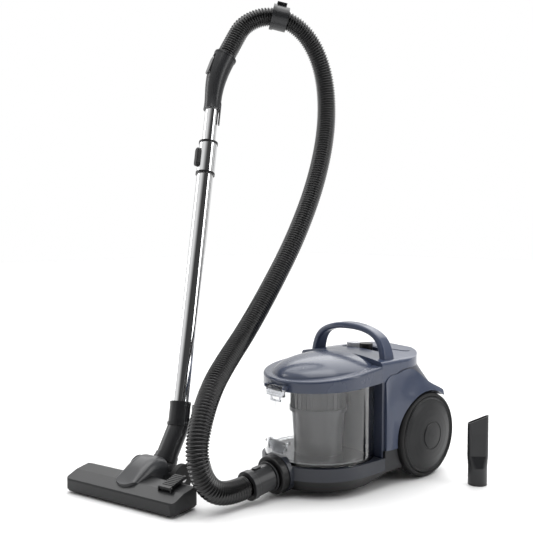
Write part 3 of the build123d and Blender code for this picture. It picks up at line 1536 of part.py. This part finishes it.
with BuildPart() as nozzle_axle:
    for edge in (-1, 1):
        nozzle_drum(25 if edge > 0 else -60, 35, STUB_R)
        nozzle_drum(33.1 if edge > 0 else -45.5, 12.4, 6)
        nozzle_drum(58.5 if edge > 0 else -60, 1.5, 6)
finish(nozzle_axle.part, "nozzle_axle")

# ---------------------------------------------------------------- crevice tool and screws
TOOL_X = 215.0
TOOL_Y = 30.0
TOOL_SECTIONS = ((0, 36.6, 36), (34, 36.6, 36), (56, 40, 19), (100, 40, 14), (140, 40, 12))


def tool_loft(inset, mode=Mode.ADD):
    for lower, upper in zip(TOOL_SECTIONS, TOOL_SECTIONS[1:]):
        pair = []
        for height, width, depth in (lower, upper):
            plane = Plane(origin=spot(TOOL_X, TOOL_Y, height), x_dir=RIGHTWARD, z_dir=(0, 0, 1))
            with BuildSketch(plane) as section:
                SlotOverall(width - 2 * inset, depth - 2 * inset)
            pair.append(section.sketch)
        loft(pair, mode=mode)


with BuildPart() as crevice_tool:
    tool_loft(0)
    tool_loft(1.8, Mode.SUBTRACT)
    with BuildSketch(Plane(origin=spot(TOOL_X, TOOL_Y, 0), x_dir=RIGHTWARD, z_dir=RIGHTWARD.cross(Vector(0, 0, 1)))):
        with BuildLine():
            Polyline((-30, 114), (-30, 160), (30, 160), (30, 138), close=True)
        make_face()
    extrude(amount=60, both=True, mode=Mode.SUBTRACT)
finish(crevice_tool.part, "crevice_tool")

with BuildPart() as screws:
    with BuildSketch(level(PAN_Z + 1)):
        with Locations(*SCREW_PLACES):
            Circle(3.5)
    extrude(amount=3)
    with BuildSketch(level(PAN_Z + 3)):
        with Locations(*SCREW_PLACES):
            Circle(1.8)
    extrude(amount=15)
finish(screws.part, "screws")
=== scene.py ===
import math

import bpy
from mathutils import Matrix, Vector


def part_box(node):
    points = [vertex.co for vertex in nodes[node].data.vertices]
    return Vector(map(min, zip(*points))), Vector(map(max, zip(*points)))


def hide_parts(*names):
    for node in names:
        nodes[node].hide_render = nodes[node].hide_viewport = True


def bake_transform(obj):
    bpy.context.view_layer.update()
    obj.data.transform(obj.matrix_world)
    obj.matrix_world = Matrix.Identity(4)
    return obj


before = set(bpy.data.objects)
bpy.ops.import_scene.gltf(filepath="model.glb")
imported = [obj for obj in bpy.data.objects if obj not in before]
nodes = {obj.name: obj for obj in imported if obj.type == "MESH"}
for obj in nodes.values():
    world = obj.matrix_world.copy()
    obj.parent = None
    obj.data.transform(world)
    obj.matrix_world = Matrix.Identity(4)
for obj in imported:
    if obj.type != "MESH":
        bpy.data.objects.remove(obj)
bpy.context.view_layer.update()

# The middle of the rear axle in the row frame, from the wheel itself, in metres.
wheel_low, wheel_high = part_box("wheel_tyre_left")
pair_low, pair_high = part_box("wheel_tyre_right")
AXLE = Vector(((wheel_high.x + pair_low.x) / 2, (wheel_low.y + wheel_high.y) / 2, 0))


def spot(x, y, z):
    """A point given in millimetres from the axle's middle, in the row frame."""
    return AXLE + Vector((x, y, z)) / 1000


# ---------------------------------------------------------------- camera
CAMERA_AT = (1073, -1290, 497)
CAMERA_HEADING = (-0.743, 0.669)
CAMERA_PITCH = math.radians(2.9)
LENS = 54.03

camera_data = bpy.data.cameras.new("camera")
camera_data.lens = LENS
camera_data.sensor_width = 36
camera = bpy.data.objects.new("camera", camera_data)
bpy.context.scene.collection.objects.link(camera)
camera.location = spot(*CAMERA_AT)
ahead = Vector((*CAMERA_HEADING, 0)).normalized() * math.cos(CAMERA_PITCH)
ahead.z = -math.sin(CAMERA_PITCH)
camera.rotation_euler = ahead.to_track_quat("-Z", "Y").to_euler()
bpy.context.scene.camera = camera

# ---------------------------------------------------------------- hose
HOSE_R = 0.021
HOSE_PITCH = 0.0059         # from ridge to ridge
HOSE_DEPTH = 0.0034         # of the groove between ridges
HOSE_WALL = 0.0012
HOSE_CUFF = 0.004           # plain stretch at each end
HOSE_SIDES = 48
RINGS_PER_RIDGE = 7
INLET_AT = (0, -290, 42)
INLET_DROP = math.radians(8)
CONNECTOR_REACH = 82.3
HOSE_ROUTE = [
    (0, -418, 24),
    (-1, -462, 47),
    (-6, -480, 98),
    (-22, -460, 152),
    (-50, -412, 207),
    (-87, -345, 245),
    (-124, -265, 290),
    (-148, -180, 368),
    (-164, -92, 470),
    (-180, -12, 595),
    (-194, 36, 720),
    (-205, 42, 830),
    (-218, 14, 910),
    (-240, -30, 955),
    (-275, -76, 968),
    (-306, -118, 946),
]
LEAD_OUT = (-313.8, -139.7, 905.7)
HANDLE_END = (-317.5, -161.9, 867.9)


def hose_points():
    """Control points of the hose, from the connector's mouth to the grip, in metres."""
    forward = Vector((0, -math.cos(INLET_DROP), -math.sin(INLET_DROP)))
    mouth = spot(*INLET_AT) + forward * CONNECTOR_REACH / 1000
    return [mouth] + [spot(*place) for place in HOSE_ROUTE] + [spot(*LEAD_OUT), spot(*HANDLE_END)]


def route_line(points):
    """Close points along the smooth line that the route's control points shape."""
    curve = bpy.data.curves.new("route", "CURVE")
    curve.dimensions = "3D"
    spline = curve.splines.new("NURBS")
    spline.points.add(len(points) - 1)
    for control, place in zip(spline.points, points):
        control.co = (*place, 1)
    spline.order_u = 3
    spline.use_endpoint_u = True
    spline.resolution_u = 24
    carrier = bpy.data.objects.new("route", curve)
    mesh = bpy.data.meshes.new_from_object(carrier)
    line = [vertex.co.copy() for vertex in mesh.vertices]
    bpy.data.objects.remove(carrier)
    bpy.data.meshes.remove(mesh)
    bpy.data.curves.remove(curve)
    return line


def even_steps(line, step):
    """The line's points again, evenly spaced, with the distance of each."""
    runs = [(b - a).length for a, b in zip(line, line[1:])]
    total = sum(runs)
    count = round(total / step)
    places, distances = [], []
    index, passed = 0, 0.0
    for number in range(count + 1):
        wanted = total * number / count
        while index < len(runs) - 1 and passed + runs[index] < wanted:
            passed += runs[index]
            index += 1
        share = (wanted - passed) / runs[index]
        places.append(line[index].lerp(line[index + 1], min(share, 1)))
        distances.append(wanted)
    return places, distances, total


def new_mesh(name, points, faces):
    """A smooth-shaded object from points and faces."""
    mesh = bpy.data.meshes.new(name)
    mesh.from_pydata([tuple(p) for p in points], [], faces)
    mesh.polygons.foreach_set("use_smooth", [True] * len(mesh.polygons))
    mesh.update()
    thing = bpy.data.objects.new(name, mesh)
    bpy.context.scene.collection.objects.link(thing)
    return thing


def swept_rings(places, radius_at, sides):
    """Points of rings carried along a line without twist; radius_at(ring, angle) gives each radius."""
    points = []
    ahead = (places[1] - places[0]).normalized()
    across = ahead.orthogonal().normalized()
    for number, place in enumerate(places):
        before = places[max(number - 1, 0)]
        after = places[min(number + 1, len(places) - 1)]
        ahead = (after - before).normalized()
        across = (across - ahead * across.dot(ahead)).normalized()
        upward = ahead.cross(across)
        for side in range(sides):
            angle = math.tau * side / sides
            reach = radius_at(number, angle)
            points.append(place + (across * math.cos(angle) + upward * math.sin(angle)) * reach)
    return points


def ring_faces(rings, sides):
    """Quads that join neighbouring rings, and the last ring to the first."""
    faces = []
    for ring in range(rings):
        here, following = ring * sides, (ring + 1) % rings * sides
        for side in range(sides):
            turn = (side + 1) % sides
            faces.append((here + side, here + turn, following + turn, following + side))
    return faces


def corrugated_hose():
    """Hollow hose with a wound ridge, following the smooth route."""
    line = route_line(hose_points())
    places, distances, total = even_steps(line, HOSE_PITCH / RINGS_PER_RIDGE)

    def outer_radius(ring, angle):
        along = distances[ring]
        if along < HOSE_CUFF or along > total - HOSE_CUFF:
            return HOSE_R - HOSE_DEPTH
        phase = along / HOSE_PITCH - angle / math.tau
        ridge = 0.5 + 0.5 * math.cos(math.tau * phase)
        return HOSE_R - HOSE_DEPTH * (1 - ridge**0.8)

    outer = swept_rings(places, outer_radius, HOSE_SIDES)
    coarse = places[::RINGS_PER_RIDGE]
    if (len(places) - 1) % RINGS_PER_RIDGE:
        coarse.append(places[-1])
    bore = HOSE_R - HOSE_DEPTH - HOSE_WALL
    inner_rings = swept_rings(coarse, lambda ring, angle: bore, HOSE_SIDES)
    count = len(coarse)
    inner = []
    for ring in reversed(range(count)):
        inner += inner_rings[ring * HOSE_SIDES:(ring + 1) * HOSE_SIDES]
    faces = ring_faces(len(places) + count, HOSE_SIDES)
    hose = new_mesh("hose", outer + inner, faces)
    return hose, [tuple(p) for p in line], total


hose, hose_line, hose_length = corrugated_hose()

clip = bpy.data.objects.new("clip", nodes["hose_clip"].data.copy())
bpy.context.scene.collection.objects.link(clip)

# ---------------------------------------------------------------- materials
def shader(name, color, roughness, **inputs):
    """A material with one principled shader, and the shader's node."""
    material = bpy.data.materials.new(name)
    material.use_nodes = True
    principled = material.node_tree.nodes["Principled BSDF"]
    principled.inputs["Base Color"].default_value = (*color, 1)
    principled.inputs["Roughness"].default_value = roughness
    for key, value in inputs.items():
        principled.inputs[key.replace("_", " ")].default_value = value
    return material, principled


def noise(material, scale, detail):
    """A 3-D noise in the row frame's coordinates, so that it doesn't depend on the mesh."""
    tree = material.node_tree
    place = tree.nodes.new("ShaderNodeTexCoord")
    texture = tree.nodes.new("ShaderNodeTexNoise")
    texture.inputs["Scale"].default_value = scale
    texture.inputs["Detail"].default_value = detail
    tree.links.new(place.outputs["Object"], texture.inputs["Vector"])
    return texture.outputs["Fac"]


def spread(material, source, low, high, target):
    """Maps a texture's 0 to 1 to a range and feeds it to a socket."""
    tree = material.node_tree
    ramp = tree.nodes.new("ShaderNodeMapRange")
    ramp.inputs["To Min"].default_value = low
    ramp.inputs["To Max"].default_value = high
    tree.links.new(source, ramp.inputs["Value"])
    tree.links.new(ramp.outputs["Result"], target)


def grain(material, principled, source, strength, distance):
    """Fine relief from a texture."""
    tree = material.node_tree
    bump = tree.nodes.new("ShaderNodeBump")
    bump.inputs["Strength"].default_value = strength
    bump.inputs["Distance"].default_value = distance
    tree.links.new(source, bump.inputs["Height"])
    tree.links.new(bump.outputs["Normal"], principled.inputs["Normal"])


def tone(material, principled, source, color, share):
    """Slight variation of the base colour about its own value."""
    tree = material.node_tree
    ramp = tree.nodes.new("ShaderNodeValToRGB")
    ramp.color_ramp.elements[0].position = 0.35
    ramp.color_ramp.elements[1].position = 0.65
    ramp.color_ramp.elements[0].color = (*[c * (1 - share) for c in color], 1)
    ramp.color_ramp.elements[1].color = (*[c * (1 + share) for c in color], 1)
    tree.links.new(source, ramp.inputs["Fac"])
    tree.links.new(ramp.outputs["Color"], principled.inputs["Base Color"])


def moulded(name, color, roughness, coat=0.0, relief=0.25, cell=2600.0, gleam=0.35):
    """Injection-moulded plastic: fine spark-eroded texture, slight unevenness in sheen."""
    material, principled = shader(
        name, color, roughness, Coat_Weight=coat, Coat_Roughness=0.12, Specular_IOR_Level=gleam
    )
    broad = noise(material, 14.0, 4.0)
    tone(material, principled, broad, color, 0.035)
    spread(material, broad, roughness * 0.9, roughness * 1.1, principled.inputs["Roughness"])
    if relief:
        grain(material, principled, noise(material, cell, 2.0), relief, 0.00006)
    return material


def clear(name, color, roughness):
    """Transparent plastic with a faint haze from handling."""
    material, principled = shader(name, color, roughness, Transmission_Weight=1.0, IOR=1.46)
    haze = noise(material, 60.0, 3.0)
    spread(material, haze, roughness, roughness * 2.5, principled.inputs["Roughness"])
    return material


def polished(name, color, roughness):
    """Metal with slight wear in its polish."""
    material, principled = shader(name, color, roughness, Metallic=1.0)
    wear = noise(material, 35.0, 5.0)
    spread(material, wear, roughness * 0.7, roughness * 1.4, principled.inputs["Roughness"])
    return material


def soft_rubber(name, color, roughness):
    """Rubber or foam, with a coarser skin than plastic."""
    return moulded(name, color, roughness, relief=0.5, cell=1500.0)


slate = moulded("slate_plastic", (0.042, 0.055, 0.096), 0.3, coat=0.3)
lid_grey = moulded("lid_plastic", (0.044, 0.055, 0.09), 0.27, coat=0.35)
navy = moulded("navy_plastic", (0.022, 0.028, 0.05), 0.3, coat=0.2)
band_slate = moulded("band_plastic", (0.022, 0.025, 0.035), 0.33, coat=0.2)
charcoal = moulded("charcoal_plastic", (0.018, 0.0185, 0.021), 0.4)
black = moulded("black_plastic", (0.007, 0.007, 0.0075), 0.34)
graphite = moulded("graphite_plastic", (0.016, 0.0165, 0.018), 0.34, coat=0.15)
satin = moulded("satin_plastic", (0.011, 0.0115, 0.0125), 0.38, coat=0.1, gleam=0.28)
hood_grey = moulded("hood_plastic", (0.03, 0.031, 0.034), 0.36, coat=0.2)
grey = moulded("grey_plastic", (0.075, 0.076, 0.08), 0.3, coat=0.2)
silver = moulded("silver_plastic", (0.6, 0.61, 0.64), 0.2, coat=0.4, relief=0.1)
gloss = moulded("gloss_plastic", (0.006, 0.006, 0.007), 0.12, coat=0.6, relief=0.0, gleam=0.5)
hose_black = moulded("hose_plastic", (0.003, 0.003, 0.0033), 0.2, coat=0.1, relief=0.0, gleam=0.5)
wheel_dark = moulded("wheel_plastic", (0.015, 0.0155, 0.0165), 0.42, gleam=0.3)
tread = soft_rubber("tyre_rubber", (0.01, 0.01, 0.0105), 0.6)
rubber = soft_rubber("black_rubber", (0.009, 0.009, 0.009), 0.62)
clear_bin = clear("clear_plastic", (0.93, 0.935, 0.94), 0.012)
smoke = clear("smoke_plastic", (0.5, 0.51, 0.53), 0.03)
chrome = polished("chrome", (0.9, 0.905, 0.91), 0.05)
steel = polished("steel", (0.6, 0.6, 0.6), 0.28)
foam = soft_rubber("foam", (0.05, 0.05, 0.055), 0.9)
paper = moulded("paper", (0.8, 0.8, 0.76), 0.8, relief=0.4)
bristle = moulded("bristle", (0.01, 0.01, 0.01), 0.6)

FINISHES = {
    slate: ("fairing_left", "fairing_right", "carry_handle", "top_cover", "top_panel"),
    lid_grey: ("bin_lid",),
    navy: ("body_shell",),
    band_slate: ("front_band",),
    charcoal: (
        "lower_housing",
        "reel_axle",
        "air_duct",
        "exhaust_grille",
        "cord_reel",
    ),
    wheel_dark: ("wheel_cover_left", "wheel_cover_right", "wheel_hub_left", "wheel_hub_right"),
    black: (
        "base_pan",
        "inlet_collar",
        "power_button",
        "collar_rings",
        "caster_fork",
        "connector_button",
        "telescope_button",
        "nozzle_pedal",
    ),
    graphite: ("hose_connector", "handle_grip", "wand_neck", "elbow", "crevice_tool"),
    satin: ("nozzle_cover", "nozzle_base"),
    hood_grey: ("nozzle_hood",),
    grey: ("cyclone_shroud", "cyclone_cone"),
    silver: ("rewind_button",),
    gloss: ("suction_slider",),
    tread: ("wheel_tyre_left", "wheel_tyre_right"),
    rubber: ("lid_seal", "cord_gland", "caster_wheel", "nozzle_wheels"),
    clear_bin: ("bin_cup", "bin_floor"),
    smoke: ("lid_latch", "floor_latch"),
    chrome: ("outer_tube", "inner_tube", "telescope_collar"),
    steel: ("axle_pins", "motor_housing", "motor_fan", "screws", "nozzle_axle"),
    foam: ("pre_motor_filter",),
    paper: ("hepa_filter",),
    bristle: ("brush_strip",),
}


def paint(thing, material):
    """Give an object one material in place of those it had."""
    thing.data.materials.clear()
    thing.data.materials.append(material)


for material, names in FINISHES.items():
    for name in names:
        paint(nodes[name], material)
paint(hose, hose_black)
paint(clip, graphite)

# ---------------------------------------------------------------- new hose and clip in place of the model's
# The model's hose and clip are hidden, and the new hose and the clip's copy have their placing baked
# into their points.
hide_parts("suction_hose")
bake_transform(hose)
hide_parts("hose_clip")
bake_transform(clip)

# ---------------------------------------------------------------- studio
FLOOR_HALF = 9.0
CYCLORAMA_LIGHT = 0.75      # of the white surroundings behind the object and overhead
ROOM_LIGHT = 0.05           # of the darker room on the camera's side
BRIGHT_SIDE = (-1.0, 0.35, 0.45)    # direction in which the surroundings are brightest


def new_light(name, kind, power):
    data = bpy.data.lights.new(name, kind)
    data.energy = power
    light = bpy.data.objects.new(name, data)
    bpy.context.scene.collection.objects.link(light)
    return light


def softbox(name, place, aim, width, height, power):
    """Rectangular area light at a place, turned to a point."""
    light = new_light(name, "AREA", power)
    light.data.shape = "RECTANGLE"
    light.data.size = width
    light.data.size_y = height
    light.location = place
    light.rotation_euler = (Vector(aim) - Vector(place)).to_track_quat("-Z", "Y").to_euler()


def studio():
    """Pale floor under three softboxes and one broad overall light."""
    reach = FLOOR_HALF
    corners = [(-reach, -reach, 0), (reach, -reach, 0), (reach, reach, 0), (-reach, reach, 0)]
    floor = new_mesh("floor", corners, [(0, 1, 2, 3)])
    floor.location.z = -0.0002
    pale, principled = shader("floor", (0.9, 0.9, 0.9), 0.5)
    grain(pale, principled, noise(pale, 900.0, 2.0), 0.05, 0.0001)
    paint(floor, pale)
    softbox("top", (0.2, -0.1, 2.4), (0, 0, 0.2), 1.6, 1.6, 22)
    softbox("left", (-2.1, -1.2, 1.3), (0, 0, 0.35), 0.6, 2.0, 15)
    softbox("right", (1.9, 1.1, 1.2), (0, 0, 0.3), 0.7, 1.8, 15)
    overall = new_light("overall", "SUN", 2.4)
    overall.data.angle = math.radians(70)
    overall.rotation_euler = (math.radians(-25), math.radians(-20), 0)


def surroundings():
    """A white cyclorama behind the object and a darker room in front, both seen as white."""
    world = bpy.data.worlds.new("studio")
    world.use_nodes = True
    tree = world.node_tree
    backdrop = tree.nodes["Background"]
    backdrop.inputs["Color"].default_value = (1, 1, 1, 1)
    direction = tree.nodes.new("ShaderNodeTexCoord")
    facing = tree.nodes.new("ShaderNodeVectorMath")
    facing.operation = "DOT_PRODUCT"
    facing.inputs[1].default_value = BRIGHT_SIDE
    tree.links.new(direction.outputs["Generated"], facing.inputs[0])
    room = tree.nodes.new("ShaderNodeMapRange")
    room.inputs["From Min"].default_value = -0.5
    room.inputs["From Max"].default_value = 0.0
    room.inputs["To Min"].default_value = ROOM_LIGHT
    room.inputs["To Max"].default_value = CYCLORAMA_LIGHT
    tree.links.new(facing.outputs["Value"], room.inputs["Value"])
    seen = tree.nodes.new("ShaderNodeLightPath")
    strength = tree.nodes.new("ShaderNodeMix")
    tree.links.new(seen.outputs["Is Camera Ray"], strength.inputs["Factor"])
    tree.links.new(room.outputs["Result"], strength.inputs["A"])
    strength.inputs["B"].default_value = 1.0
    tree.links.new(strength.outputs["Result"], backdrop.inputs["Strength"])
    bpy.context.scene.world = world
    bpy.context.scene.view_settings.view_transform = "Standard"


studio()
surroundings()
